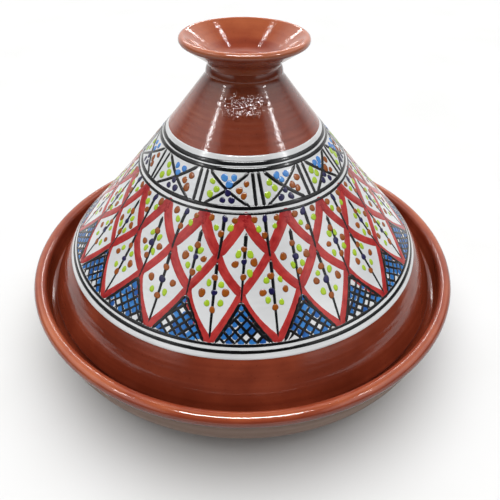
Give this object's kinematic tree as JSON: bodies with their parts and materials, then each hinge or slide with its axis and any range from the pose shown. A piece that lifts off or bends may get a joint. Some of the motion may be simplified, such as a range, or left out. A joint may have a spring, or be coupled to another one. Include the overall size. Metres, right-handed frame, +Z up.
{
  "type": "tagine pot",
  "caption": "Round glazed earthenware cooking dish with a rolled rim and an inner gallery, and a tall painted cone lid that lifts off by its flared cup knob.",
  "frame": {"origin": "middle of the dish's flat base, on the surface that it stands on", "axes": "+Z up along the axis that the dish, the lid and its knob are turned round"},
  "size_m": [0.3, 0.3, 0.2083],
  "materials": {
    "terracotta_glaze": "gloss",
    "painted_white_glaze": "gloss"
  },
  "bodies": {
    "dish": {"dish": "terracotta_glaze"},
    "lid": {"lid_cone": "painted_white_glaze", "lid_knob": "terracotta_glaze"}
  },
  "joints": [
    {"name": "lid_lift", "type": "slide", "parent": "dish", "child": "lid", "axis": [0, 0, 1], "range_m": [0, 0.12]}
  ]
}
